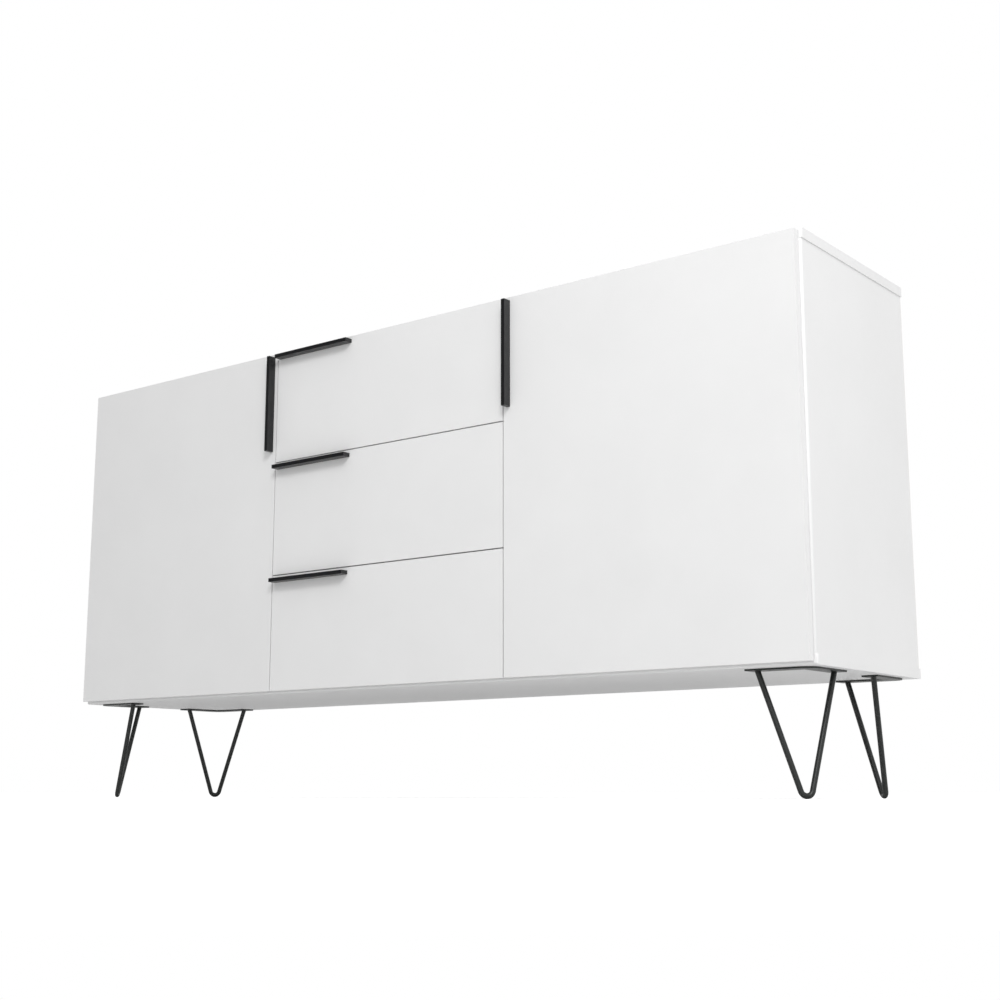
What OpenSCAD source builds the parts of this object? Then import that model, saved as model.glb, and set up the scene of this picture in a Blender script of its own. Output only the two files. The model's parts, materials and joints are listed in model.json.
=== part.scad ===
// Sideboard with two doors, a centre stack of three drawers and four hairpin legs.
// Origin: on the floor, under the middle of the whole piece. The front faces -Y, +Z is up.

/* [Carcass] */
// Width of the top and bottom panels
top_w = 1530; // [1400:1:1700]
// Depth of the top and bottom panels
top_d = 335; // [320:0.5:420]
// Height of the carcass without its legs
carcass_h = 605; // [590:1:700]
// Thickness of the carcass boards
board_t = 15; // [15:0.5:18]
// How far the top and bottom panels stand out past the side panels
side_overhang = 1.5; // [0.5:0.5:3]
// How far the top and bottom panels stand out past the back panel
back_overhang = 1.5; // [1:0.5:4]
// Rounding of the outer edges round the front of the carcass
edge_r = 4; // [1:0.5:4]
// Thickness of the back panel and the drawer bottoms
sheet_t = 3; // [2.5:0.5:4]

/* [Fronts] */
// Thickness of the doors and drawer fronts
front_t = 12; // [12:0.5:16]
// Space between the fronts and the carcass
front_gap = 1; // [1:0.1:2]
// Space between neighbouring fronts
reveal_gap = 2; // [1.5:0.5:4]
// Width of one door
door_w = 506.5; // [460:0.5:560]
// Carcass edge left showing at each side of the fronts
side_reveal = 5; // [4:0.5:6]
// Carcass edge left showing above and below the fronts
end_reveal = 4.5; // [4:0.5:6]

/* [Handles] */
// Length of a handle bar
handle_l = 172; // [140:1:190]
// Thickness of a handle bar
handle_t = 6.5; // [6:0.5:10]
// How far a handle bar stands out
handle_out = 15; // [12:1:25]
// Distance between the screws of a handle
handle_screws = 128; // [96:32:128]

/* [Legs] */
// Height of the legs
leg_h = 174; // [140:1:260]
// Diameter of the leg rod
rod_d = 8; // [6:0.5:12]
// Centre-line radius of the bend at the foot
bend_r = 8.5; // [8:0.5:14]
// Length of each arm of the leg plate
plate_arm = 102.5; // [95:0.5:120]
// Width of each arm of the leg plate
plate_w = 25; // [20:1:30]
// Thickness of the leg plate
plate_t = 2.5; // [2:0.5:4]

/* [Drawers] */
// Height of the drawer sides
drawer_h = 125; // [110:1:130]
// Depth of the drawer boxes
drawer_d = 290; // [260:1:300]
// Thickness of the drawer sides and backs
drawer_t = 12; // [12:0.5:15]
// Room for one runner between a drawer and its divider
runner_space = 12.5; // [12.5:0.1:13.5]

/* [Hidden] */
$fn = 48;

WHITE = [0.93, 0.93, 0.93];
BLACK = [0.11, 0.11, 0.12];
STEEL = [0.70, 0.71, 0.73];
ZINC = [0.78, 0.78, 0.80];
BEECH = [0.80, 0.66, 0.45];
CLEAR = [0.85, 0.88, 0.90];

// Radial slack of a shank in its hole
fit = 0.05;
// A cut runs this far past the face it starts from
past = 1;
// Room left past the end of a screw or bolt in its hole
end_room = 0.5;

// Front to back: handle faces, front faces, front backs, carcass front, panel back, sheet back
y_handle = -(top_d + front_gap + front_t + handle_out) / 2;
y_front = y_handle + handle_out;
y_door_back = y_front + front_t;
y_carcass = y_door_back + front_gap;
y_back = y_carcass + top_d;
y_sheet = y_back - back_overhang - sheet_t;
panel_d = y_sheet - y_carcass;

// Bottom to top
z_bottom = leg_h;
z_floor = z_bottom + board_t;
z_ceiling = z_bottom + carcass_h - board_t;
panel_h = z_ceiling - z_floor;
z_front0 = z_bottom + end_reveal;
fronts_h = carcass_h - 2 * end_reveal;

// Side to side, from the middle
x_side_out = top_w / 2 - side_overhang;
x_side_in = x_side_out - board_t;
x_door_out = top_w / 2 - side_reveal;
x_door_in = x_door_out - door_w;
x_divider = x_door_in - reveal_gap / 2;
x_divider_in = x_divider - board_t / 2;
x_divider_out = x_divider + board_t / 2;

// Knock-down joints of the carcass
cam_from_edge = 50;
dowel_from_edge = 82;
joint_cam_y = [y_carcass + cam_from_edge, y_sheet - cam_from_edge];
joint_dowel_y = [y_carcass + dowel_from_edge, y_sheet - dowel_from_edge];
cam_r = 7.5;
cam_depth = 12.5;
cam_inset = 24;
bolt_r = 3;
bolt_tip_r = 2.5;
bolt_tip = 10;
dowel_r = 4;
dowel_l = 30;
dowel_in_board = 9;

// Shelves and their pins
shelf_t = board_t;
shelf_side_gap = 1;
shelf_front_gap = 25;
shelf_back_gap = 5;
shelf_z = z_floor + panel_h / 2 - shelf_t / 2;
pin_r = 2.5;
pin_in = 10;
pin_out = 8;
pin_pitch = 32;
pin_from_front = 60;
pin_from_back = 45;
pin_y = [y_carcass + pin_from_front, y_sheet - pin_from_back];

// Back panel nails
nail_r = 1;
nail_l = 15;
nail_head_r = 2.5;
nail_head_t = 0.8;
nail_rows = 5;
nail_from_end = 40;

// Hinges, measured from a door's outer edge (u) and its back face (w)
hinge_from_end = 80;
hinge_z = [z_front0 + hinge_from_end, z_front0 + fronts_h - hinge_from_end];
hinge_u = 3;
hinge_w = -6;
cup_r = 13;
cup_u = hinge_u + cup_r;
cup_depth = 10;
cup_wall = 0.8;
flange_t = 0.7;
flange_h = 46;
flange_u = [2.5, 32];
cup_screw_z = 18.5;
cup_screw_r = 1.6;
cup_screw_l = 9;
arm_plate_t = 2;
arm_plate_w = [28, 62];
arm_plate_h = 48;
arm_screw_z = 17;
arm_screw_r = 1.7;
arm_screw_l = 12;
nose_r = [13.8, 15.4];
nose_arc = [-8, 38];
link_r = [11.2, 12.8];
link_arc = [-13, 36];
link_half = 6;

// Handles
handle_top_inset = 5.5;
door_handle_inset = 6.25;
drawer_handle_inset = 5;
handle_screw_r = 1.5;
handle_screw_in = 9;
handle_hole_r = 1.75;
handle_head_r = 2.8;
handle_head_t = 0.8;

// Legs, measured from the corner of the bottom panel
plate_inset = 15;
plate_corner_r = 22;
rod_line = plate_inset + plate_w / 2;
rod_from_plate_end = 13.5;
rod_reach = plate_inset + plate_arm - rod_from_plate_end;
foot_inset = 45.5;
leg_screw_at = [rod_line, 60, 86];
leg_screw_r = 2;
leg_screw_l = 13;
leg_head_r = 3.8;
leg_head_sunk = 0.1;

// Drawers
drawer_front_w = 2 * (x_door_in - reveal_gap);
drawer_front_h = (fronts_h - 2 * reveal_gap) / 3;
drawer_lift = 28;
drawer_out = x_divider_in - runner_space;
drawer_in = drawer_out - drawer_t;
groove_z = 10;
groove_in = 5;
drawer_cam_z = [35, 95];
drawer_cam_r = 6;
drawer_cam_depth = 9;
drawer_cam_inset = 20;
drawer_bolt_in = 9;
back_screw_z = [40, 100];
back_screw_r = 1.75;
back_screw_l = 35;

// Runners
runner_z = 60;
runner_steel = 1.2;
runner_out_h = 35;
runner_in_h = 23.6;
runner_out_d = 8.5;
runner_in_d = 8.5;
runner_l = 300;
runner_setback = 3;
runner_screw_y = [30, 130, 260];
runner_screw_r = 1.75;
runner_screw_l = 11;
drawer_screw_in = 9;
runner_head_t = 1.6;
runner_head_r = 3.2;
cage_l = 60;
cage_start = 113.5;
cage_steel = 0.6;
cage_balls = 4;
ball_play = 0.25;
ball_from_side = 6;
ball_lip = 0.4;
cage_gap = 0.3;

function drawer_z(level) = z_front0 + level * (drawer_front_h + reveal_gap);
function box_z(level) = drawer_z(level) + drawer_lift;

// ---- Small shapes ----

module box(lo, hi) {
    translate(lo) cube(hi - lo);
}

// Round bar of radius r from a point, l long, along +X, +Y or +Z
module bar_x(at, r, l) {
    translate(at) rotate([0, 90, 0]) cylinder(r = r, h = l);
}

module bar_y(at, r, l) {
    translate(at) rotate([-90, 0, 0]) cylinder(r = r, h = l);
}

module bar_z(at, r, l) {
    translate(at) cylinder(r = r, h = l);
}

module both_sides() {
    children();
    mirror([1, 0, 0]) children();
}

// Takes the corner off an edge that runs l along +Z from the origin, with the body on its +X +Y side
module edge_cut(l) {
    translate([0, 0, -past]) linear_extrude(l + 2 * past) difference() {
        translate([-past, -past]) square(edge_r + past);
        translate([edge_r, edge_r]) circle(edge_r);
    }
}

// ---- Carcass ----

// Start of a blind hole in a horizontal panel, in its underside or in its upper face
function panel_hole_z(z0, under, depth) = under ? z0 - past : z0 + board_t - depth;

// Horizontal panel with its underside at z0, drilled for the bolts and dowels of the vertical panels.
// Its drilled face is its underside if under is true, and its front edge is rounded on the other face
module horizontal_panel(z0, under) {
    dowel_hole = dowel_in_board + 1;
    difference() {
        box([-top_w / 2, y_carcass, z0], [top_w / 2, y_back, z0 + board_t]);
        both_sides() translate([-top_w / 2, y_carcass, z0]) edge_cut(board_t);
        translate([-top_w / 2, y_carcass, under ? z0 + board_t : z0]) mirror([0, 0, under ? 1 : 0])
            rotate([90, 0, 90]) edge_cut(top_w);
        both_sides()
            for (x = [x_divider, x_side_out - board_t / 2]) {
                for (y = joint_cam_y)
                    bar_z([x, y, panel_hole_z(z0, under, bolt_tip)], bolt_tip_r + fit, bolt_tip + past);
                for (y = joint_dowel_y)
                    bar_z([x, y, panel_hole_z(z0, under, dowel_hole)], dowel_r + fit, dowel_hole + past);
            }
    }
}

module top_panel() {
    color(WHITE) horizontal_panel(z_ceiling, true);
}

module bottom_panel() {
    color(WHITE) difference() {
        horizontal_panel(z_bottom, false);
        each_leg() leg_screw_places()
            bar_z([0, 0, z_bottom - past], leg_screw_r + fit, leg_screw_l - plate_t + past);
    }
}

// Vertical panel of the +X side. Its fittings are in the face x_face, which looks along dir
module vertical_panel(x0, x_face, dir) {
    x_mid = x0 + board_t / 2;
    dowel_in = dowel_l - dowel_in_board + 1;
    difference() {
        box([x0, y_carcass, z_floor], [x0 + board_t, y_sheet, z_ceiling]);
        for (y = joint_cam_y) {
            for (z = [z_floor + cam_inset, z_ceiling - cam_inset])
                face_hole(x_face, dir, y, z, cam_r + fit, cam_depth);
            bar_z([x_mid, y, z_floor - past], bolt_r + fit, cam_inset + past);
            bar_z([x_mid, y, z_ceiling - cam_inset], bolt_r + fit, cam_inset + past);
        }
        for (y = joint_dowel_y) {
            bar_z([x_mid, y, z_floor - past], dowel_r + fit, dowel_in + past);
            bar_z([x_mid, y, z_ceiling - dowel_in], dowel_r + fit, dowel_in + past);
        }
        for (y = pin_y, row = [-1, 0, 1])
            face_hole(x_face, dir, y, shelf_z - pin_r + row * pin_pitch, pin_r + fit, pin_in);
        for (z = nail_z())
            bar_y([x_mid, y_sheet - nail_l + sheet_t, z], nail_r + fit, nail_l);
    }
}

// Blind hole into the face at x_face of a board whose open side looks along dir
module face_hole(x_face, dir, y, z, r, depth) {
    bar_x([dir > 0 ? x_face - depth : x_face - past, y, z], r, depth + past);
}

function nail_z() = [
    for (i = [0 : nail_rows - 1])
        z_floor + nail_from_end + i * (panel_h - 2 * nail_from_end) / (nail_rows - 1)
];

module side_panel() {
    difference() {
        vertical_panel(x_side_in, x_side_in, -1);
        translate([x_side_out, y_carcass, z_floor]) mirror([1, 0, 0]) edge_cut(panel_h);
        for (z = hinge_z, side = [-1, 1])
            face_hole(x_side_in, -1, y_door_back + arm_screw_w(), z + side * arm_screw_z,
                arm_screw_r + fit, arm_screw_l - arm_plate_t);
    }
}

function arm_screw_w() = (arm_plate_w[0] + arm_plate_w[1]) / 2;

module divider() {
    difference() {
        vertical_panel(x_divider_in, x_divider_out, 1);
        for (level = [0 : 2], y = runner_screw_y)
            face_hole(x_divider_in, -1, runner_y0() + y, box_z(level) + runner_z,
                runner_screw_r + fit, runner_screw_l - runner_steel);
    }
}

module left_side_panel() {
    color(WHITE) mirror([1, 0, 0]) side_panel();
}

module right_side_panel() {
    color(WHITE) side_panel();
}

module left_divider() {
    color(WHITE) mirror([1, 0, 0]) divider();
}

module right_divider() {
    color(WHITE) divider();
}

module back_panel() {
    color(WHITE) difference() {
        box([-x_side_out, y_sheet, z_floor], [x_side_out, y_sheet + sheet_t, z_ceiling]);
        each_nail() bar_y([0, y_sheet - past, 0], nail_r + fit, sheet_t + 2 * past);
    }
}

module each_nail() {
    both_sides()
        for (x = [x_divider, x_side_out - board_t / 2], z = nail_z())
            translate([x, 0, z]) children();
}

module back_panel_nails() {
    color(STEEL) each_nail() {
        bar_y([0, y_sheet + sheet_t - nail_l, 0], nail_r, nail_l);
        bar_y([0, y_sheet + sheet_t, 0], nail_head_r, nail_head_t);
    }
}

module shelf() {
    box([x_divider_out + shelf_side_gap, y_carcass + shelf_front_gap, shelf_z],
        [x_side_in - shelf_side_gap, y_sheet - shelf_back_gap, shelf_z + shelf_t]);
}

module left_shelf() {
    color(WHITE) mirror([1, 0, 0]) shelf();
}

module right_shelf() {
    color(WHITE) shelf();
}

module shelf_pins() {
    color(STEEL) both_sides()
        for (y = pin_y) {
            bar_x([x_divider_out - pin_in, y, shelf_z - pin_r], pin_r, pin_in + pin_out);
            bar_x([x_side_in - pin_out, y, shelf_z - pin_r], pin_r, pin_in + pin_out);
        }
}

module carcass_dowels() {
    color(BEECH) both_sides()
        for (x = [x_divider, x_side_out - board_t / 2], y = joint_dowel_y) {
            bar_z([x, y, z_floor - dowel_in_board], dowel_r, dowel_l);
            bar_z([x, y, z_ceiling + dowel_in_board - dowel_l], dowel_r, dowel_l);
        }
}

// Cam discs in the panel faces, and the bolts that they pull on
module cam_fittings() {
    shaft = cam_inset - cam_r - end_room;
    color(ZINC) both_sides()
        for (y = joint_cam_y) {
            for (z = [z_floor + cam_inset, z_ceiling - cam_inset]) {
                cam_disc([x_side_in, y, z], cam_r, cam_depth, 1);
                cam_disc([x_divider_out, y, z], cam_r, cam_depth, -1);
            }
            for (x = [x_divider, x_side_out - board_t / 2]) {
                bar_z([x, y, z_floor], bolt_r, shaft);
                bar_z([x, y, z_floor - bolt_tip + end_room], bolt_tip_r, bolt_tip - end_room);
                bar_z([x, y, z_ceiling - shaft], bolt_r, shaft);
                bar_z([x, y, z_ceiling], bolt_tip_r, bolt_tip - end_room);
            }
        }
}

// Disc with a driver slot, let into a board from the point at, towards +X or -X
module cam_disc(at, r, depth, into) {
    slot_w = 1.5;
    slot_depth = 2;
    slot_x = into > 0 ? 0 : -slot_depth;
    translate(at) difference() {
        bar_x([into > 0 ? 0 : -depth, 0, 0], r, depth);
        translate([slot_x, -r * 0.7, -slot_w / 2]) cube([slot_depth, r * 1.4, slot_w]);
    }
}

// ---- Legs ----

// Places its children at the four corners of the bottom panel, +X and +Y pointing inwards
module each_leg() {
    leg_place(-1, -1) children();
    leg_place(1, -1) children();
    leg_place(-1, 1) children();
    leg_place(1, 1) children();
}

module leg_place(x_end, y_end) {
    translate([x_end * top_w / 2, y_end < 0 ? y_carcass : y_back, 0])
        mirror([x_end > 0 ? 1 : 0, 0, 0]) mirror([0, y_end > 0 ? 1 : 0, 0]) children();
}

module leg_screw_places() {
    for (a = leg_screw_at) translate([a, rod_line, 0]) children();
    for (a = [leg_screw_at[1], leg_screw_at[2]]) translate([rod_line, a, 0]) children();
}

// Bent rod welded to an L-shaped plate. The rod leans in its own plane, which rises from the foot
module hairpin_leg() {
    plate_z = z_bottom - plate_t;
    foot_z = rod_d / 2;
    spread = (rod_reach - rod_line) / sqrt(2);
    lean = ((rod_reach + rod_line) / 2 - foot_inset) * sqrt(2);
    rise = plate_z - foot_z;
    slope = atan2(lean, rise);
    long = sqrt(lean * lean + rise * rise);
    // Angle of each rod from the middle line, so that it leaves the bend along its tangent
    reach = sqrt(spread * spread + (long - bend_r) * (long - bend_r));
    half = acos(bend_r / reach) - atan2(long - bend_r, spread);
    rod_l = sqrt(reach * reach - bend_r * bend_r);
    weld = 0.5;
    far = plate_inset + 2 * plate_arm;
    difference() {
        union() {
            leg_plate(plate_z);
            intersection() {
                translate([foot_inset, foot_inset, foot_z]) rotate([0, 0, 45])
                    rotate([90 + slope, 0, 90]) rod_in_plane(half, rod_l);
                translate([0, 0, -past]) cube([far, far, plate_z + weld + past]);
            }
        }
        leg_screw_places() {
            bar_z([0, 0, plate_z - past], leg_screw_r + fit, plate_t + 2 * past);
            screw_cone(plate_z, leg_head_r + fit, leg_screw_r + fit, past);
        }
    }
}

// Bend and straights in their own plane: x across, y up, each straight half degrees off upright
module rod_in_plane(half, rod_l) {
    spare = 8;
    translate([0, bend_r, 0]) rotate([0, 0, 180 + half])
        rotate_extrude(angle = 180 - 2 * half) translate([bend_r, 0]) circle(d = rod_d);
    for (side = [0, 1])
        mirror([side, 0, 0]) translate([0, bend_r, 0]) rotate([0, 0, -half]) translate([bend_r, 0, 0])
            rotate([-90, 0, 0]) cylinder(d = rod_d, h = rod_l + spare);
}

module leg_plate(z0) {
    far = plate_inset + plate_arm;
    inner = plate_inset + plate_w;
    r = plate_corner_r;
    translate([0, 0, z0]) linear_extrude(plate_t) difference() {
        union() {
            translate([plate_inset + r, plate_inset]) square([plate_arm - r, plate_w]);
            translate([plate_inset, plate_inset + r]) square([plate_w, plate_arm - r]);
            translate([plate_inset + r, plate_inset + r]) circle(r);
        }
        translate([inner, inner]) square(far);
    }
}

module front_left_leg() {
    color(BLACK) leg_place(-1, -1) hairpin_leg();
}

module front_right_leg() {
    color(BLACK) leg_place(1, -1) hairpin_leg();
}

module back_left_leg() {
    color(BLACK) leg_place(-1, 1) hairpin_leg();
}

module back_right_leg() {
    color(BLACK) leg_place(1, 1) hairpin_leg();
}

// Right-angled cone of a countersunk head: radius r at z0, down to shank_r above it, and out to below z0
module screw_cone(z0, r, shank_r, below) {
    translate([0, 0, z0 - below]) cylinder(r1 = r + below, r2 = shank_r, h = r - shank_r + below);
}

module leg_screws() {
    under = z_bottom - plate_t + leg_head_sunk;
    color(BLACK) each_leg() leg_screw_places() {
        bar_z([0, 0, under], leg_screw_r, leg_screw_l - end_room - leg_head_sunk);
        screw_cone(under, leg_head_r - leg_head_sunk, leg_screw_r, 0);
    }
}

// ---- Hinges ----

// Puts children drawn in a door's u, w, z onto the right-hand side of the carcass
module at_right_door() {
    translate([x_door_out, y_door_back, 0]) mirror([1, 0, 0]) children();
}

// Part of a ring about the hinge line, between two radii and two angles
module hinge_arc(radii, angles, half_w) {
    translate([hinge_u, hinge_w, -half_w]) rotate([0, 0, angles[0]])
        rotate_extrude(angle = angles[1] - angles[0], $fn = 96)
            translate([radii[0], 0]) square([radii[1] - radii[0], 2 * half_w]);
}

// Mounting plate on the side panel, and the arm that reaches into the cup
module hinge_arm() {
    face_u = x_door_out - x_side_in;
    plate_top = face_u + arm_plate_t;
    nose_half = 4;
    arm_half = 6.5;
    arm_t = 5;
    // The arm starts ahead of its plate and stops short of the plate's back end
    arm_w = [arm_plate_w[0] - 6, arm_plate_w[1] - 4];
    // The neck starts inside the end of the nose, so that the two run into each other
    neck_u = hinge_u + nose_r[0] * cos(nose_arc[1]) + 0.3;
    neck_w = hinge_w + nose_r[0] * sin(nose_arc[1]) - 0.1;
    neck_t = 1.6;
    neck_half = nose_half - 0.6;
    difference() {
        box([face_u, arm_plate_w[0], -arm_plate_h / 2], [plate_top, arm_plate_w[1], arm_plate_h / 2]);
        for (side = [-1, 1])
            bar_x([face_u - past, arm_screw_w(), side * arm_screw_z], arm_screw_r + fit,
                arm_plate_t + 2 * past);
    }
    box([plate_top, arm_w[0], -arm_half], [plate_top + arm_t, arm_w[1], arm_half]);
    box([neck_u, neck_w, -neck_half], [neck_u + neck_t, arm_plate_w[0], neck_half]);
    hinge_arc(nose_r, nose_arc, nose_half);
}

module hinge_arms() {
    color(STEEL) both_sides()
        for (z = hinge_z) translate([0, 0, z]) at_right_door() hinge_arm();
}

module hinge_arm_screws() {
    face_u = x_door_out - x_side_in;
    head_r = 3;
    head_t = 1.6;
    color(STEEL) both_sides()
        for (z = hinge_z, side = [-1, 1])
            translate([0, 0, z + side * arm_screw_z]) at_right_door() {
                bar_x([face_u + arm_plate_t - arm_screw_l + end_room, arm_screw_w(), 0], arm_screw_r,
                    arm_screw_l - end_room);
                bar_x([face_u + arm_plate_t, arm_screw_w(), 0], head_r, head_t);
            }
}

// Cup let into the door, with its fixing flange on the door's back face
module hinge_cup() {
    difference() {
        union() {
            bar_y([cup_u, -cup_depth + fit, 0], cup_r - fit, cup_depth);
            box([flange_u[0], 0, -flange_h / 2], [flange_u[1], flange_t, flange_h / 2]);
        }
        bar_y([cup_u, -cup_depth + cup_wall, 0], cup_r - cup_wall, cup_depth + flange_t);
        for (side = [-1, 1])
            bar_y([cup_u, -past, side * cup_screw_z], cup_screw_r + fit, flange_t + 2 * past);
    }
}

module door_hinge_cups() {
    for (z = hinge_z) translate([0, 0, z]) at_right_door() hinge_cup();
}

module door_hinge_links() {
    for (z = hinge_z) translate([0, 0, z]) at_right_door() hinge_arc(link_r, link_arc, link_half);
}

module left_hinge_cups() {
    color(STEEL) mirror([1, 0, 0]) door_hinge_cups();
}

module right_hinge_cups() {
    color(STEEL) door_hinge_cups();
}

module left_hinge_links() {
    color(STEEL) mirror([1, 0, 0]) door_hinge_links();
}

module right_hinge_links() {
    color(STEEL) door_hinge_links();
}

// ---- Doors ----

// Handle of a door: its middle, and the heights of its screws
door_handle_x = x_door_in + door_handle_inset + handle_t / 2;
door_handle_z = z_front0 + fronts_h - handle_top_inset - handle_l / 2;
door_handle_screw_z = [for (side = [-1, 1]) door_handle_z + side * handle_screws / 2];
bumper_r = 4;
bumper_from_edge = 20;
bumper_inset = 1.3;
bumper_x = x_door_in + bumper_from_edge;
bumper_z = [z_floor - bumper_r - bumper_inset, z_ceiling + bumper_r + bumper_inset];

module door_panel() {
    difference() {
        box([x_door_in, y_front, z_front0], [x_door_out, y_door_back, z_front0 + fronts_h]);
        for (z = door_handle_screw_z)
            bar_y([door_handle_x, y_front - past, z], handle_hole_r, front_t + 2 * past);
        for (z = hinge_z) translate([0, 0, z]) at_right_door() {
            bar_y([cup_u, -cup_depth, 0], cup_r, cup_depth + past);
            for (side = [-1, 1])
                bar_y([cup_u, -cup_screw_l, side * cup_screw_z], cup_screw_r + fit, cup_screw_l + past);
        }
    }
}

module door_handle() {
    difference() {
        box([door_handle_x - handle_t / 2, y_handle, door_handle_z - handle_l / 2],
            [door_handle_x + handle_t / 2, y_front, door_handle_z + handle_l / 2]);
        for (z = door_handle_screw_z)
            bar_y([door_handle_x, y_front - handle_screw_in - 1, z], handle_screw_r + fit,
                handle_screw_in + 1 + past);
    }
}

// Screw from behind a front into a handle
module handle_screw(x, z) {
    bar_y([x, y_front - handle_screw_in, z], handle_screw_r, handle_screw_in + front_t);
    bar_y([x, y_door_back, z], handle_head_r, handle_head_t);
}

// Screws of the handle and of the hinge cups
module door_screws() {
    head_r = 2.8;
    head_t = 1.2;
    for (z = door_handle_screw_z) handle_screw(door_handle_x, z);
    for (z = hinge_z, side = [-1, 1])
        translate([0, 0, z + side * cup_screw_z]) at_right_door() {
            bar_y([cup_u, flange_t - cup_screw_l, 0], cup_screw_r, cup_screw_l);
            bar_y([cup_u, flange_t, 0], head_r, head_t);
        }
}

module door_bumpers() {
    for (z = bumper_z) bar_y([bumper_x, y_door_back, z], bumper_r, front_gap);
}

module left_door_panel() {
    color(WHITE) mirror([1, 0, 0]) door_panel();
}

module right_door_panel() {
    color(WHITE) door_panel();
}

module left_door_handle() {
    color(BLACK) mirror([1, 0, 0]) door_handle();
}

module right_door_handle() {
    color(BLACK) door_handle();
}

module left_door_screws() {
    color(STEEL) mirror([1, 0, 0]) door_screws();
}

module right_door_screws() {
    color(STEEL) door_screws();
}

module left_door_bumpers() {
    color(CLEAR) mirror([1, 0, 0]) door_bumpers();
}

module right_door_bumpers() {
    color(CLEAR) door_bumpers();
}

// ---- Drawers ----

drawer_handle_x = -drawer_front_w / 2 + drawer_handle_inset + handle_l / 2;
drawer_handle_up = drawer_front_h - handle_top_inset - handle_t / 2;
drawer_screw_x = [for (side = [-1, 1]) drawer_handle_x + side * handle_screws / 2];

function runner_y0() = y_carcass + runner_setback;

module drawer_front(level) {
    z0 = drawer_z(level);
    color(WHITE) difference() {
        box([-drawer_front_w / 2, y_front, z0], [drawer_front_w / 2, y_door_back, z0 + drawer_front_h]);
        for (x = drawer_screw_x)
            bar_y([x, y_front - past, z0 + drawer_handle_up], handle_hole_r, front_t + 2 * past);
        both_sides()
            for (z = drawer_cam_z)
                bar_y([drawer_out - drawer_t / 2, y_door_back - drawer_bolt_in, box_z(level) + z],
                    bolt_tip_r + fit, drawer_bolt_in + past);
    }
}

module drawer_handle(level) {
    z0 = drawer_z(level) + drawer_handle_up;
    color(BLACK) difference() {
        box([drawer_handle_x - handle_l / 2, y_handle, z0 - handle_t / 2],
            [drawer_handle_x + handle_l / 2, y_front, z0 + handle_t / 2]);
        for (x = drawer_screw_x)
            bar_y([x, y_front - handle_screw_in - 1, z0], handle_screw_r + fit, handle_screw_in + 1 + past);
    }
}

// Side of a drawer on the +X side, grooved for the bottom
module drawer_side(level) {
    z0 = box_z(level);
    y_end = y_door_back + drawer_d;
    difference() {
        box([drawer_in, y_door_back, z0], [drawer_out, y_end, z0 + drawer_h]);
        box([drawer_in - past, y_door_back - past, z0 + groove_z],
            [drawer_in + groove_in, y_end + past, z0 + groove_z + sheet_t]);
        for (z = drawer_cam_z) {
            bar_x([drawer_in - past, y_door_back + drawer_cam_inset, z0 + z], drawer_cam_r + fit,
                drawer_cam_depth + past);
            bar_y([drawer_out - drawer_t / 2, y_door_back - past, z0 + z], bolt_tip_r + fit,
                drawer_cam_inset + past);
        }
        for (z = back_screw_z)
            bar_x([drawer_in - past, y_end - drawer_t / 2, z0 + z], back_screw_r + fit,
                drawer_t + 2 * past);
        for (y = runner_screw_y)
            bar_x([drawer_out - drawer_screw_in, runner_y0() + y, z0 + runner_z], runner_screw_r + fit,
                drawer_screw_in + past);
    }
}

module drawer_left_side(level) {
    color(WHITE) mirror([1, 0, 0]) drawer_side(level);
}

module drawer_right_side(level) {
    color(WHITE) drawer_side(level);
}

module drawer_back(level) {
    z0 = box_z(level);
    y_end = y_door_back + drawer_d;
    color(WHITE) difference() {
        box([-drawer_in, y_end - drawer_t, z0 + groove_z + sheet_t], [drawer_in, y_end, z0 + drawer_h]);
        both_sides()
            for (z = back_screw_z)
                bar_x([drawer_in - back_screw_l + drawer_t, y_end - drawer_t / 2, z0 + z],
                    back_screw_r + fit, back_screw_l);
    }
}

module drawer_bottom(level) {
    z0 = box_z(level) + groove_z;
    wide = drawer_in + groove_in;
    color(WHITE) box([-wide, y_door_back, z0], [wide, y_door_back + drawer_d, z0 + sheet_t]);
}

// Cam discs and bolts at the front, screws at the back and screws for the handle
module drawer_fittings(level) {
    z0 = box_z(level);
    y_end = y_door_back + drawer_d;
    shaft = drawer_cam_inset - drawer_cam_r - end_room;
    tip = drawer_bolt_in - end_room;
    head_r = 3.4;
    head_t = 1.6;
    color(ZINC) {
        both_sides() {
            for (z = drawer_cam_z) {
                cam_disc([drawer_in, y_door_back + drawer_cam_inset, z0 + z], drawer_cam_r,
                    drawer_cam_depth, 1);
                bar_y([drawer_out - drawer_t / 2, y_door_back - tip, z0 + z], bolt_tip_r, shaft + tip);
            }
            for (z = back_screw_z) {
                bar_x([drawer_out - back_screw_l + end_room, y_end - drawer_t / 2, z0 + z],
                    back_screw_r, back_screw_l - end_room);
                bar_x([drawer_out, y_end - drawer_t / 2, z0 + z], head_r, head_t);
            }
        }
        for (x = drawer_screw_x) handle_screw(x, drawer_z(level) + drawer_handle_up);
    }
}

// ---- Runners ----

// Channel on the +X side: web at x_web, flanges towards toward, height h, depth d
module channel(x_web, toward, h, d, l, z_mid) {
    t = runner_steel;
    web_x = toward > 0 ? x_web : x_web - t;
    lip_x = toward > 0 ? x_web : x_web - d;
    translate([0, runner_y0(), z_mid]) {
        translate([web_x, 0, -h / 2]) cube([t, l, h]);
        translate([lip_x, 0, h / 2 - t]) cube([d, l, t]);
        translate([lip_x, 0, -h / 2]) cube([d, l, t]);
    }
}

// Outer channels of the three drawers, screwed to the dividers
module cabinet_runners() {
    color(STEEL) both_sides()
        for (level = [0 : 2]) cabinet_runner(box_z(level) + runner_z);
}

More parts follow.
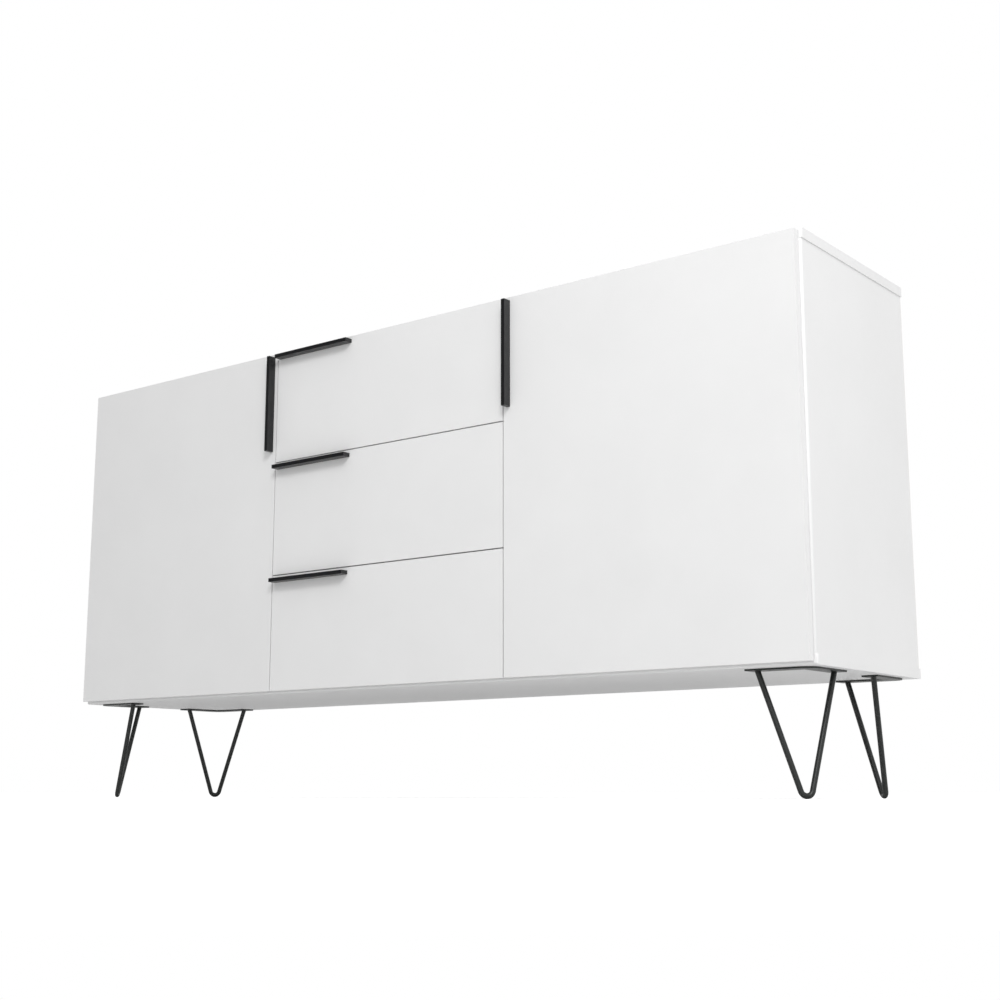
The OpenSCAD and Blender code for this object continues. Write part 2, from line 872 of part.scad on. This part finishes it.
module cabinet_runner(z_mid) {
    difference() {
        channel(x_divider_in, -1, runner_out_h, runner_out_d, runner_l, z_mid);
        for (y = runner_screw_y)
            bar_x([x_divider_in - runner_steel - past, runner_y0() + y, z_mid], runner_screw_r + fit,
                runner_steel + 2 * past);
    }
    for (y = runner_screw_y) {
        bar_x([x_divider_in - runner_steel - runner_head_t, runner_y0() + y, z_mid], runner_head_r,
            runner_head_t);
        bar_x([x_divider_in - runner_steel, runner_y0() + y, z_mid], runner_screw_r,
            runner_screw_l - end_room);
    }
}

// Inner channels, screwed to the drawer sides
module drawer_runners(level) {
    z_mid = box_z(level) + runner_z;
    screw_in = drawer_screw_in - end_room;
    color(ZINC) both_sides() {
        difference() {
            channel(drawer_out, 1, runner_in_h, runner_in_d, drawer_d - runner_setback, z_mid);
            for (y = runner_screw_y)
                bar_x([drawer_out - past, runner_y0() + y, z_mid], runner_screw_r + fit,
                    runner_steel + 2 * past);
        }
        for (y = runner_screw_y) {
            bar_x([drawer_out + runner_steel, runner_y0() + y, z_mid], runner_head_r, runner_head_t);
            bar_x([drawer_out - screw_in, runner_y0() + y, z_mid], runner_screw_r,
                screw_in + runner_steel);
        }
    }
}

// Cages of balls between the two channels. A cage runs out half as far as its drawer
module ball_cages(level) {
    color(ZINC) both_sides() translate([0, runner_y0() + cage_start, box_z(level) + runner_z]) ball_cage();
}

module ball_cage() {
    row_z = (runner_in_h + runner_out_h) / 4 - runner_steel / 2;
    ball_r = (runner_out_h - runner_in_h) / 4 - runner_steel / 2 - ball_play;
    ball_x = drawer_out + ball_from_side;
    web_x = drawer_out + runner_in_d + cage_gap;
    strip_x = ball_x - ball_r - ball_lip;
    translate([web_x, 0, -row_z]) cube([cage_steel, cage_l, 2 * row_z]);
    for (side = [-1, 1]) {
        translate([strip_x, 0, side * row_z - cage_steel / 2])
            cube([web_x + cage_steel - strip_x, cage_l, cage_steel]);
        for (i = [0 : cage_balls - 1])
            translate([ball_x, cage_l * (i + 0.5) / cage_balls, side * row_z]) sphere(ball_r);
    }
}

// ---- Every node ----

top_panel();
bottom_panel();
left_side_panel();
right_side_panel();
left_divider();
right_divider();
back_panel();
left_shelf();
right_shelf();
shelf_pins();
carcass_dowels();
cam_fittings();
back_panel_nails();
front_left_leg();
front_right_leg();
back_left_leg();
back_right_leg();
leg_screws();
hinge_arms();
hinge_arm_screws();
cabinet_runners();
left_door_panel();
left_door_handle();
left_hinge_cups();
left_door_screws();
left_door_bumpers();
right_door_panel();
right_door_handle();
right_hinge_cups();
right_door_screws();
right_door_bumpers();
left_hinge_links();
right_hinge_links();
drawer_front(2);  // top_drawer_front
drawer_left_side(2);  // top_drawer_left_side
drawer_right_side(2);  // top_drawer_right_side
drawer_back(2);  // top_drawer_back
drawer_bottom(2);  // top_drawer_bottom
drawer_handle(2);  // top_drawer_handle
drawer_runners(2);  // top_drawer_runners
drawer_fittings(2);  // top_drawer_fittings
ball_cages(2);  // top_ball_cages
drawer_front(1);  // middle_drawer_front
drawer_left_side(1);  // middle_drawer_left_side
drawer_right_side(1);  // middle_drawer_right_side
drawer_back(1);  // middle_drawer_back
drawer_bottom(1);  // middle_drawer_bottom
drawer_handle(1);  // middle_drawer_handle
drawer_runners(1);  // middle_drawer_runners
drawer_fittings(1);  // middle_drawer_fittings
ball_cages(1);  // middle_ball_cages
drawer_front(0);  // bottom_drawer_front
drawer_left_side(0);  // bottom_drawer_left_side
drawer_right_side(0);  // bottom_drawer_right_side
drawer_back(0);  // bottom_drawer_back
drawer_bottom(0);  // bottom_drawer_bottom
drawer_handle(0);  // bottom_drawer_handle
drawer_runners(0);  // bottom_drawer_runners
drawer_fittings(0);  // bottom_drawer_fittings
ball_cages(0);  // bottom_ball_cages
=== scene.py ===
import json
import math

import bmesh
import bpy
from mathutils import Matrix, Vector


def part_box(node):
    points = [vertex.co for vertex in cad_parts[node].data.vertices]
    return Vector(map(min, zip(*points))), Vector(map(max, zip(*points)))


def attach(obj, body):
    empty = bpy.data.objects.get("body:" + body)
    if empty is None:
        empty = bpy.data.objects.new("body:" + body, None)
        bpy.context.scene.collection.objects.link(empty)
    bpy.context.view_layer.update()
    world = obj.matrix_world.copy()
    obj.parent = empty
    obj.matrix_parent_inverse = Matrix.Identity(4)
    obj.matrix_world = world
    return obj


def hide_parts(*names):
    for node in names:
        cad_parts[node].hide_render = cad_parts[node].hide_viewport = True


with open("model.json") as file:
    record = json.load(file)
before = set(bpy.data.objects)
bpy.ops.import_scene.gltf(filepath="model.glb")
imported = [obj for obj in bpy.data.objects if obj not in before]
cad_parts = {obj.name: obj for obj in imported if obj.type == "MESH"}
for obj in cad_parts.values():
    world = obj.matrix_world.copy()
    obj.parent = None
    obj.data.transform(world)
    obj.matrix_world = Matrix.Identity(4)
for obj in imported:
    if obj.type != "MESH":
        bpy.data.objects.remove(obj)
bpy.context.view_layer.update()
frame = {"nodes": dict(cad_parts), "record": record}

MM = 0.001
NODES = frame["nodes"]
SCENE = bpy.context.scene
LEVELS = ("top", "middle", "bottom")

# Sizes of the CAD's fittings that its mesh doesn't tell
CAM_R = 7.5 * MM
CAM_BOLT_R = 3 * MM
DRAWER_CAM_R = 6 * MM
DRAWER_BOLT_R = 2.5 * MM
LEG_SCREW_R = 2 * MM
HINGE_SCREW_R = 1.7 * MM
HINGE_HEAD_T = 1.6 * MM
CUP_SCREW_R = 1.6 * MM
CUP_HEAD_T = 1.2 * MM
HANDLE_SCREW_R = 1.5 * MM
HANDLE_HEAD_T = 0.8 * MM
DRAWER_BACK_SCREW_R = 1.75 * MM
DRAWER_BACK_HEAD_T = 1.6 * MM


# ---- Camera, stage and light ----

def add_camera():
    """Low camera to the right of the front, looking up."""
    data = bpy.data.cameras.new("camera")
    data.lens = 55.35
    data.sensor_width = 36
    data.clip_end = 100
    camera = bpy.data.objects.new("camera", data)
    camera.location = (1.6782, -2.0037, 0.0088)
    camera.rotation_euler = (math.radians(90 + 10.77), 0, math.radians(37.93))
    SCENE.collection.objects.link(camera)
    SCENE.camera = camera


def add_area(name, place, target, size, power, color=(1, 1, 1)):
    data = bpy.data.lights.new(name, "AREA")
    data.shape = "RECTANGLE"
    data.size, data.size_y = size
    data.energy = power
    data.color = color
    light = bpy.data.objects.new(name, data)
    light.location = place
    light.rotation_euler = (Vector(target) - Vector(place)).to_track_quat("-Z", "Y").to_euler()
    SCENE.collection.objects.link(light)


def add_world():
    """White studio with a dark screen at the front left. The camera sees it white; the handles mirror it."""
    world = bpy.data.worlds.new("studio")
    world.use_nodes = True
    screen_centre = Vector((-0.66, -0.70, 0.22)).normalized()
    screen_radius = math.radians(20)
    screen_fades_by = math.radians(34)
    n = Nodes(world, "Background")
    n.shader.inputs["Color"].default_value = (1, 1, 1, 1)
    towards = n.add("ShaderNodeVectorMath", operation="DOT_PRODUCT")
    towards.inputs[1].default_value = screen_centre
    n.link(n.add("ShaderNodeTexCoord").outputs["Generated"], towards.inputs[0])
    screen = n.add("ShaderNodeMapRange", interpolation_type="SMOOTHSTEP")
    for name, value in (("From Min", math.cos(screen_fades_by)), ("From Max", math.cos(screen_radius)),
                        ("To Min", 0.92), ("To Max", 0.03)):
        screen.inputs[name].default_value = value
    n.link(towards.outputs["Value"], screen.inputs["Value"])
    strength = n.add("ShaderNodeMath", operation="MAXIMUM")
    n.link(n.add("ShaderNodeLightPath").outputs["Is Camera Ray"], strength.inputs[0])
    n.link(screen.outputs["Result"], strength.inputs[1])
    n.link(strength.outputs["Value"], n.shader.inputs["Strength"])
    SCENE.world = world


def add_floor():
    """Pale floor. Its glow reaches the camera only, so it looks white and still shades the underside."""
    mesh = bpy.data.meshes.new("floor")
    side = 30
    glow_strength = 0.46
    mesh.from_pydata([(-side, -side, 0), (side, -side, 0), (side, side, 0), (-side, side, 0)], [],
                     [(0, 1, 2, 3)])
    floor = bpy.data.objects.new("floor", mesh)
    SCENE.collection.objects.link(floor)
    material, shader = new_material("pale_floor")
    shader.inputs["Base Color"].default_value = (0.74, 0.74, 0.74, 1)
    shader.inputs["Roughness"].default_value = 0.9
    shader.inputs["Specular IOR Level"].default_value = 0
    shader.inputs["Emission Color"].default_value = (1, 1, 1, 1)
    n = Nodes(material)
    glow = n.add("ShaderNodeMath", operation="MULTIPLY")
    glow.inputs[1].default_value = glow_strength
    n.link(n.add("ShaderNodeLightPath").outputs["Is Camera Ray"], glow.inputs[0])
    n.link(glow.outputs["Value"], shader.inputs["Emission Strength"])
    mesh.materials.append(material)


# ---- Material helpers ----

def new_material(name):
    material = bpy.data.materials.new(name)
    material.use_nodes = True
    return material, material.node_tree.nodes["Principled BSDF"]


class Nodes:
    """Short calls for building the node tree of a material or of the world."""

    def __init__(self, owner, shader="Principled BSDF"):
        self.tree = owner.node_tree
        self.shader = self.tree.nodes[shader]

    def add(self, kind, **values):
        node = self.tree.nodes.new(kind)
        for name, value in values.items():
            if name in node.inputs:
                node.inputs[name].default_value = value
            else:
                setattr(node, name, value)
        return node

    def link(self, out, into):
        self.tree.links.new(out, into)

    def place(self, stretch=(1, 1, 1)):
        """The row-frame position of the surface, stretched along each axis."""
        coordinates = self.add("ShaderNodeTexCoord")
        mapping = self.add("ShaderNodeMapping", Scale=stretch)
        self.link(coordinates.outputs["Object"], mapping.inputs["Vector"])
        return mapping.outputs["Vector"]

    def noise(self, scale, stretch=(1, 1, 1), detail=3.0, roughness=0.5):
        node = self.add("ShaderNodeTexNoise", Scale=scale, Detail=detail, Roughness=roughness)
        self.link(self.place(stretch), node.inputs["Vector"])
        return node.outputs["Fac"]

    def ramp(self, value, low, high, at=(0.3, 0.7)):
        """Maps a 0..1 value onto the span between two colours or two numbers."""
        node = self.add("ShaderNodeValToRGB")
        stops = node.color_ramp.elements
        for stop, place, color in zip(stops, at, (low, high)):
            stop.position = place
            stop.color = (*color, 1) if hasattr(color, "__len__") else (color, color, color, 1)
        self.link(value, node.inputs["Fac"])
        return node.outputs["Color"]

    def bump(self, height, strength, distance, before=None):
        node = self.add("ShaderNodeBump", Strength=strength, Distance=distance)
        self.link(height, node.inputs["Height"])
        if before is not None:
            self.link(before, node.inputs["Normal"])
        return node.outputs["Normal"]


def white_lacquer():
    """Satin white lacquer of the doors and drawer fronts, with a faint spray texture."""
    material, shader = new_material("white_lacquer")
    n = Nodes(material)
    n.link(n.ramp(n.noise(9), (0.795, 0.795, 0.795), (0.815, 0.815, 0.815)), shader.inputs["Base Color"])
    n.link(n.ramp(n.noise(60), 0.36, 0.44), shader.inputs["Roughness"])
    fine = n.bump(n.noise(1400, detail=2), 0.05, 0.0002)
    n.link(n.bump(n.noise(220, detail=2), 0.04, 0.0006, fine), shader.inputs["Normal"])
    return material


def white_melamine():
    """White melamine skin of the carcass boards, with its fine pearl embossing."""
    material, shader = new_material("white_melamine")
    n = Nodes(material)
    n.link(n.ramp(n.noise(7), (0.795, 0.795, 0.795), (0.815, 0.815, 0.815)), shader.inputs["Base Color"])
    n.link(n.ramp(n.noise(90), 0.42, 0.54), shader.inputs["Roughness"])
    n.link(n.bump(n.noise(1800, detail=3), 0.10, 0.0003), shader.inputs["Normal"])
    return material


def white_hardboard():
    """Thin fibreboard with one painted face."""
    material, shader = new_material("white_hardboard")
    n = Nodes(material)
    n.link(n.ramp(n.noise(14, detail=5), (0.80, 0.80, 0.79), (0.84, 0.84, 0.83)), shader.inputs["Base Color"])
    n.link(n.ramp(n.noise(120), 0.55, 0.7), shader.inputs["Roughness"])
    fibres = n.noise(900, (1, 1, 0.35), detail=5, roughness=0.65)
    n.link(n.bump(fibres, 0.25, 0.0004), shader.inputs["Normal"])
    return material


def powder_coat(name, color, rough):
    """Matt powder coat on metal: a soft grain with a little sheen."""
    material, shader = new_material(name)
    n = Nodes(material)
    dark = tuple(c * 0.85 for c in color)
    light = tuple(c * 1.15 for c in color)
    n.link(n.ramp(n.noise(400, detail=2), dark, light), shader.inputs["Base Color"])
    n.link(n.ramp(n.noise(700), rough - 0.05, rough + 0.08), shader.inputs["Roughness"])
    n.link(n.bump(n.noise(2600, detail=2), 0.35, 0.0003), shader.inputs["Normal"])
    return material


def plated_steel(name, color, rough, stretch):
    """Plated steel with fine rolling lines along one axis."""
    material, shader = new_material(name)
    n = Nodes(material)
    shader.inputs["Metallic"].default_value = 1
    dark = tuple(c * 0.86 for c in color)
    n.link(n.ramp(n.noise(900, stretch, detail=4), dark, color), shader.inputs["Base Color"])
    n.link(n.ramp(n.noise(500, stretch), rough - 0.06, rough + 0.08), shader.inputs["Roughness"])
    n.link(n.bump(n.noise(1500, stretch, detail=3), 0.15, 0.0002), shader.inputs["Normal"])
    return material


def beech():
    """Unfinished beech with its short flecks along the grain."""
    material, shader = new_material("beech")
    n = Nodes(material)
    n.link(n.ramp(n.noise(700, (1, 1, 0.08), detail=5), (0.50, 0.32, 0.17), (0.68, 0.48, 0.29)),
           shader.inputs["Base Color"])
    shader.inputs["Roughness"].default_value = 0.7
    n.link(n.bump(n.noise(1200, (1, 1, 0.05), detail=4), 0.3, 0.0003), shader.inputs["Normal"])
    return material


def clear_pad():
    """Translucent soft bumper."""
    material, shader = new_material("clear_pad")
    n = Nodes(material)
    shader.inputs["Transmission Weight"].default_value = 0.5
    shader.inputs["IOR"].default_value = 1.45
    n.link(n.ramp(n.noise(300), (0.78, 0.80, 0.80), (0.86, 0.87, 0.87)), shader.inputs["Base Color"])
    n.link(n.ramp(n.noise(800), 0.2, 0.35), shader.inputs["Roughness"])
    return material


# ---- Carried-over CAD nodes ----

def soften(node, width, segments=3):
    """Rounds the sharp edges of a CAD node without changing its mesh."""
    part = NODES[node]
    weld = part.modifiers.new("weld", "WELD")
    weld.merge_threshold = 0.000002
    bevel = part.modifiers.new("soften", "BEVEL")
    bevel.width = width
    bevel.segments = segments
    bevel.limit_method = "ANGLE"
    bevel.angle_limit = math.radians(40)
    bevel.harden_normals = True


def finish_node(node, material):
    part = NODES[node]
    part.data.materials.clear()
    part.data.materials.append(material)


def finish_nodes():
    """Gives each CAD node the material of its slot, and softens the edges of boards, handles and steel."""
    along_y = (1, 0.03, 1)
    by_slot = {
        "white_front": white_lacquer(),
        "white_board": white_melamine(),
        "white_back": white_hardboard(),
        "black_handle": powder_coat("handle_coat", (0.006, 0.006, 0.007), 0.32),
        "black_leg": powder_coat("leg_coat", (0.009, 0.011, 0.010), 0.34),
        "bright_steel": plated_steel("nickel_steel", (0.66, 0.66, 0.67), 0.32, along_y),
        "zinc": plated_steel("zinc_plate", (0.72, 0.72, 0.73), 0.38, (1, 1, 1)),
        "beech": beech(),
        "clear_rubber": clear_pad(),
    }
    edge = {
        "white_front": 1.0 * MM,
        "white_board": 0.8 * MM,
        "black_handle": 0.6 * MM,
        "bright_steel": 0.15 * MM,
    }
    for part in frame["record"]["subparts"]:
        finish_node(part["node"], by_slot[part["material_slot"]])
        if part["material_slot"] in edge:
            soften(part["node"], edge[part["material_slot"]])
    return by_slot


# ---- Detailed pieces that stand for plain CAD solids ----

def solids(node):
    """Lowest and highest corner of each separate solid of a CAD node."""
    mesh = NODES[node].data
    parent = {}

    def root(key):
        while parent[key] != key:
            key = parent[key]
        return key

    keys = [tuple(round(c * 1e6) for c in vertex.co) for vertex in mesh.vertices]
    for key in keys:
        parent[key] = key
    for face in mesh.polygons:
        first = root(keys[face.vertices[0]])
        for index in face.vertices:
            parent[root(keys[index])] = first
    groups = {}
    for vertex, key in zip(mesh.vertices, keys):
        groups.setdefault(root(key), []).append(vertex.co)
    boxes = []
    for points in groups.values():
        low = Vector([min(p[k] for p in points) for k in range(3)])
        high = Vector([max(p[k] for p in points) for k in range(3)])
        boxes.append((low, high))
    return sorted(boxes, key=lambda b: tuple(b[0]))


def cross_outline(arm, half_width):
    """Twelve corners of a cross, anticlockwise."""
    corners = []
    for quarter in range(4):
        a = quarter * math.pi / 2
        for x, y in ((arm, -half_width), (arm, half_width), (half_width, half_width)):
            corners.append((x * math.cos(a) - y * math.sin(a), x * math.sin(a) + y * math.cos(a)))
    return corners


def as_shape(bm):
    """The vertices and faces of a bmesh, with its faces turned outwards. Frees it."""
    bmesh.ops.recalc_face_normals(bm, faces=bm.faces)
    bm.verts.index_update()
    shape = [tuple(v.co) for v in bm.verts], [tuple(v.index for v in f.verts) for f in bm.faces]
    bm.free()
    return shape


def loop_of(bm, points, height):
    return [bm.verts.new((x, y, height)) for x, y in points]


def circle_points(radius, steps, centre=(0, 0)):
    angles = [2 * math.pi * i / steps for i in range(steps)]
    return [(centre[0] + radius * math.cos(a), centre[1] + radius * math.sin(a)) for a in angles]


def wall(bm, low, high):
    """Quads between two loops of the same length."""
    count = len(low)
    for i in range(count):
        j = (i + 1) % count
        bm.faces.new((low[i], low[j], high[j], high[i]))


def fill_between(bm, *loops):
    """Flat fill between an outline and the holes in it."""
    edges = []
    for loop in loops:
        for i in range(len(loop)):
            pair = loop[i], loop[(i + 1) % len(loop)]
            edges.append(bm.edges.get(pair) or bm.edges.new(pair))
    bmesh.ops.triangle_fill(bm, use_beauty=True, edges=edges)


def turned(profile, steps=32, recess=None):
    """Closed shape turned round Z from (radius, height) points, bottom to top.

    recess is the arm length, half width and depth of a cross let into the flat top.
    """
    bm = bmesh.new()
    rings = [loop_of(bm, circle_points(radius, steps), height) for radius, height in profile]
    for low, high in zip(rings, rings[1:]):
        wall(bm, low, high)
    bm.faces.new(list(reversed(rings[0])))
    if recess is None:
        bm.faces.new(rings[-1])
        return as_shape(bm)
    arm, half_width, depth = recess
    top = profile[-1][1]
    rim = loop_of(bm, cross_outline(arm, half_width), top)
    floor = loop_of(bm, [(x * 0.7, y * 0.8) for x, y in cross_outline(arm, half_width)], top - depth)
    fill_between(bm, rings[-1], rim)
    wall(bm, floor, rim)
    bm.faces.new(floor)
    return as_shape(bm)


def screw_shape(head_r, head_t, shank_r, shank_l):
    """Pan-head screw with a cross recess. Its head's underside is at 0 and its tip points down Z."""
    profile = [(shank_r * 0.55, -shank_l), (shank_r, -shank_l + shank_r * 0.8), (shank_r, 0), (head_r, 0)]
    for i in range(1, 6):
        a = math.radians(90 * i / 5)
        profile.append((head_r * (0.7 + 0.3 * math.cos(a)), head_t * (0.25 + 0.75 * math.sin(a))))
    return turned(profile, recess=(head_r * 0.55, head_r * 0.11, head_t * 0.7))


def sunk_screw_shape(head_r, shank_r, length):
    """Countersunk screw with a cross recess. Its flat head is at 0 and its tip points down Z."""
    cone = head_r - shank_r
    profile = [(shank_r * 0.55, -length), (shank_r, -length + shank_r * 0.8), (shank_r, -cone),
               (head_r - 0.15 * MM, -0.15 * MM), (head_r - 0.25 * MM, 0)]
    return turned(profile, recess=(head_r * 0.55, head_r * 0.11, head_r * 0.3))


def cam_shape(radius, depth):
    """Cam disc with a chamfered rim and a cross recess, with its open face at 0 and its body down Z."""
    chamfer = 0.4 * MM
    profile = [(radius - chamfer, -depth), (radius, -depth + chamfer), (radius, -chamfer),
               (radius - chamfer, 0)]
    return turned(profile, recess=(radius * 0.62, radius * 0.11, depth * 0.35))


def rod_shape(radius, length):
    """Rod with chamfered ends, its middle at 0."""
    chamfer = 0.3 * MM
    half = length / 2
    return turned([(radius - chamfer, -half), (radius, chamfer - half), (radius, half - chamfer),
                   (radius - chamfer, half)])


def frame_of(place, axis, spin=0.0):
    """Matrix that takes Z to axis and the origin to place."""
    turn = Vector(axis).to_track_quat("Z", "Y").to_matrix().to_4x4()
    return Matrix.Translation(place) @ turn @ Matrix.Rotation(spin, 4, "Z")


def add_piece(name, shapes, material, body, replaces=()):
    """One piece out of several (vertices, faces, matrix) shapes."""
    vertices, faces = [], []
    for shape_vertices, shape_faces, matrix in shapes:
        start = len(vertices)
        vertices += [matrix @ Vector(v) for v in shape_vertices]
        faces += [tuple(start + i for i in face) for face in shape_faces]
    mesh = bpy.data.meshes.new(name)
    mesh.from_pydata(vertices, [], faces)
    mesh.materials.append(material)
    mesh.update()
    piece = bpy.data.objects.new(name, mesh)
    SCENE.collection.objects.link(piece)
    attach(piece, body)
    if replaces:
        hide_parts(*replaces)
    smooth_by_angle(piece)
    return piece


def smooth_by_angle(piece, degrees=35):
    """Smooth shading, with every edge sharper than that angle kept crisp."""
    bm = bmesh.new()
    bm.from_mesh(piece.data)
    for face in bm.faces:
        face.smooth = True
    for edge in bm.edges:
        if len(edge.link_faces) == 2:
            edge.smooth = edge.calc_face_angle(0) < math.radians(degrees)
    bm.to_mesh(piece.data)
    bm.free()


def screws_of(node, axis_at, head_t, shank_r, wanted=lambda size: True):
    """Detailed screws in the places of a node's plain ones. axis_at(centre) points out of the head.

    A head_t of 0 stands for a countersunk head.
    """
    shapes = []
    for number, (low, high) in enumerate(solids(node)):
        size = high - low
        if not wanted(size):
            continue
        centre = (low + high) / 2
        axis = Vector(axis_at(centre))
        along = max(range(3), key=lambda k: abs(axis[k]))
        head_r = max(size[k] for k in range(3) if k != along) / 2
        under_head = centre + axis * (size[along] / 2 - head_t)
        if head_t:
            shape = screw_shape(head_r, head_t, shank_r, size[along] - head_t)
        else:
            shape = sunk_screw_shape(head_r, shank_r, size[along])
        shapes.append((*shape, frame_of(under_head, axis, spin=number * 0.9)))
    return shapes


def inwards(centre):
    return (-1 if centre.x > 0 else 1, 0, 0)


def outwards(centre):
    return (1 if centre.x > 0 else -1, 0, 0)


def backwards(centre):
    return (0, 1, 0)


def downwards(centre):
    return (0, 0, -1)


def cam_face(centre):
    """The cams of the side panels face inwards, and those of the dividers face the doors' compartments."""
    slack = 1 * MM
    on_divider = abs(centre.x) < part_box("right_divider")[1].x + slack
    return outwards(centre) if on_divider else inwards(centre)


def cams_and_bolts(node, bolt_along, cam_axis_at, cam_r, bolt_r):
    """Detailed cam discs and their plain bolts, told apart by their width."""
    near = 0.2 * MM
    shapes = []
    for number, (low, high) in enumerate(solids(node)):
        size, centre = high - low, (low + high) / 2
        if abs(size.z - 2 * cam_r) < near and size.x < 2 * cam_r:
            axis = Vector(cam_axis_at(centre))
            face = centre + axis * size.x / 2
            shapes.append((*cam_shape(cam_r, size.x), frame_of(face, axis, spin=number * 0.7)))
        elif size[bolt_along] > 3 * bolt_r and abs(min(size) - 2 * bolt_r) < near:
            axis = Vector([1 if k == bolt_along else 0 for k in range(3)])
            shapes.append((*rod_shape(bolt_r, size[bolt_along]), frame_of(centre, axis)))
    return shapes


def add_screws():
    """Cross-head screws wherever they can be seen."""
    zinc = MATERIALS["zinc"]
    longest_cup_screw = 15 * MM
    shortest_handle_screw = 20 * MM
    shortest_back_screw = 30 * MM
    # The handle screws' heads are wider than the drawer bolts, which also run along Y
    widest_bolt = 5.2 * MM
    add_piece("leg_plate_screws", screws_of("leg_screws", downwards, 0, LEG_SCREW_R), MATERIALS["black_leg"],
              "carcass", ["leg_screws"])
    add_piece("hinge_plate_screws", screws_of("hinge_arm_screws", inwards, HINGE_HEAD_T, HINGE_SCREW_R),
              zinc, "carcass", ["hinge_arm_screws"])
    for side in ("left", "right"):
        node = side + "_door_screws"
        shapes = screws_of(node, backwards, CUP_HEAD_T, CUP_SCREW_R,
                           wanted=lambda size: size.y < longest_cup_screw)
        shapes += screws_of(node, backwards, HANDLE_HEAD_T, HANDLE_SCREW_R,
                            wanted=lambda size: size.y > longest_cup_screw)
        add_piece(side + "_door_cross_screws", shapes, zinc, side + "_door", [node])
    add_piece("carcass_cams", cams_and_bolts("cam_fittings", 2, cam_face, CAM_R, CAM_BOLT_R), zinc,
              "carcass", ["cam_fittings"])
    for level in LEVELS:
        node = level + "_drawer_fittings"
        shapes = cams_and_bolts(node, 1, inwards, DRAWER_CAM_R, DRAWER_BOLT_R)
        shapes += screws_of(node, outwards, DRAWER_BACK_HEAD_T, DRAWER_BACK_SCREW_R,
                            wanted=lambda size: size.x > shortest_back_screw)
        shapes += screws_of(node, backwards, HANDLE_HEAD_T, HANDLE_SCREW_R,
                            wanted=lambda size: size.y > shortest_handle_screw and size.x > widest_bolt)
        add_piece(level + "_drawer_screws", shapes, zinc, level + "_drawer", [node])


def bumper_shape(radius, height):
    """Low dome, its flat side at 0."""
    return turned([(radius, 0), (radius, height * 0.35), (radius * 0.9, height * 0.7),
                   (radius * 0.65, height * 0.94), (radius * 0.3, height)])


def add_bumpers():
    """Domed pads on the inner faces of the doors."""
    for side in ("left", "right"):
        node = side + "_door_bumpers"
        shapes = []
        for low, high in solids(node):
            centre = (low + high) / 2
            base = Vector((centre.x, low.y, centre.z))
            dome = bumper_shape((high.x - low.x) / 2, high.y - low.y)
            shapes.append((*dome, frame_of(base, backwards(centre))))
        add_piece(side + "_door_domed_bumpers", shapes, MATERIALS["clear_rubber"], side + "_door",
                  [node])


def pin_shape(radius, length, collar_at):
    """Shelf pin along Z from 0, with chamfered ends and a thin collar that rests on the board."""
    chamfer = 0.6 * MM
    collar_r = radius + 1.5 * MM
    collar_end = collar_at + 0.8 * MM
    return turned([(radius - chamfer, 0), (radius, chamfer), (radius, collar_at), (collar_r, collar_at),
                   (collar_r, collar_end), (radius, collar_end), (radius, length - chamfer),
                   (radius - chamfer, length)])


def add_shelf_pins():
    """Pins with collars under the shelves. Each one starts 10 mm deep in its board."""
    in_board = 10 * MM
    slack = 5 * MM
    shapes = []
    divider_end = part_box("right_divider")[1].x
    for low, high in solids("shelf_pins"):
        centre = (low + high) / 2
        on_divider = abs(centre.x) < divider_end + slack
        axis = Vector(outwards(centre) if on_divider else inwards(centre))
        start = centre - axis * (high.x - low.x) / 2
        shapes.append((*pin_shape((high.z - low.z) / 2, high.x - low.x, in_board), frame_of(start, axis)))
    add_piece("collared_shelf_pins", shapes, MATERIALS["bright_steel"], "carcass",
              ["shelf_pins"])


def add_hinge_adjusters():
    """The two adjusting screws on each hinge arm."""
    shapes = []
    head_r, head_t, shank_l = 2.8 * MM, 0.9 * MM, 3 * MM
    from_arm_back = 14 * MM, 30 * MM
    screw = screw_shape(head_r, head_t, head_r * 0.6, shank_l)
    for low, high in solids("hinge_arms"):
        centre = (low + high) / 2
        axis = Vector(inwards(centre))
        face_x = low.x if centre.x > 0 else high.x
        for number, from_back in enumerate(from_arm_back):
            place = Vector((face_x, high.y - from_back, centre.z))
            shapes.append((*screw, frame_of(place, axis, spin=number * 0.5)))
    add_piece("hinge_adjusting_screws", shapes, MATERIALS["zinc"], "carcass")


SCENE.view_settings.view_transform = "Standard"
SCENE.view_settings.look = "None"
add_camera()
add_world()
add_floor()
add_area("key", (1.75, -1.95, 2.2), (0.2, 0, 0.45), (0.8, 0.8), 37)
MATERIALS = finish_nodes()
add_screws()
add_bumpers()
add_shelf_pins()
add_hinge_adjusters()
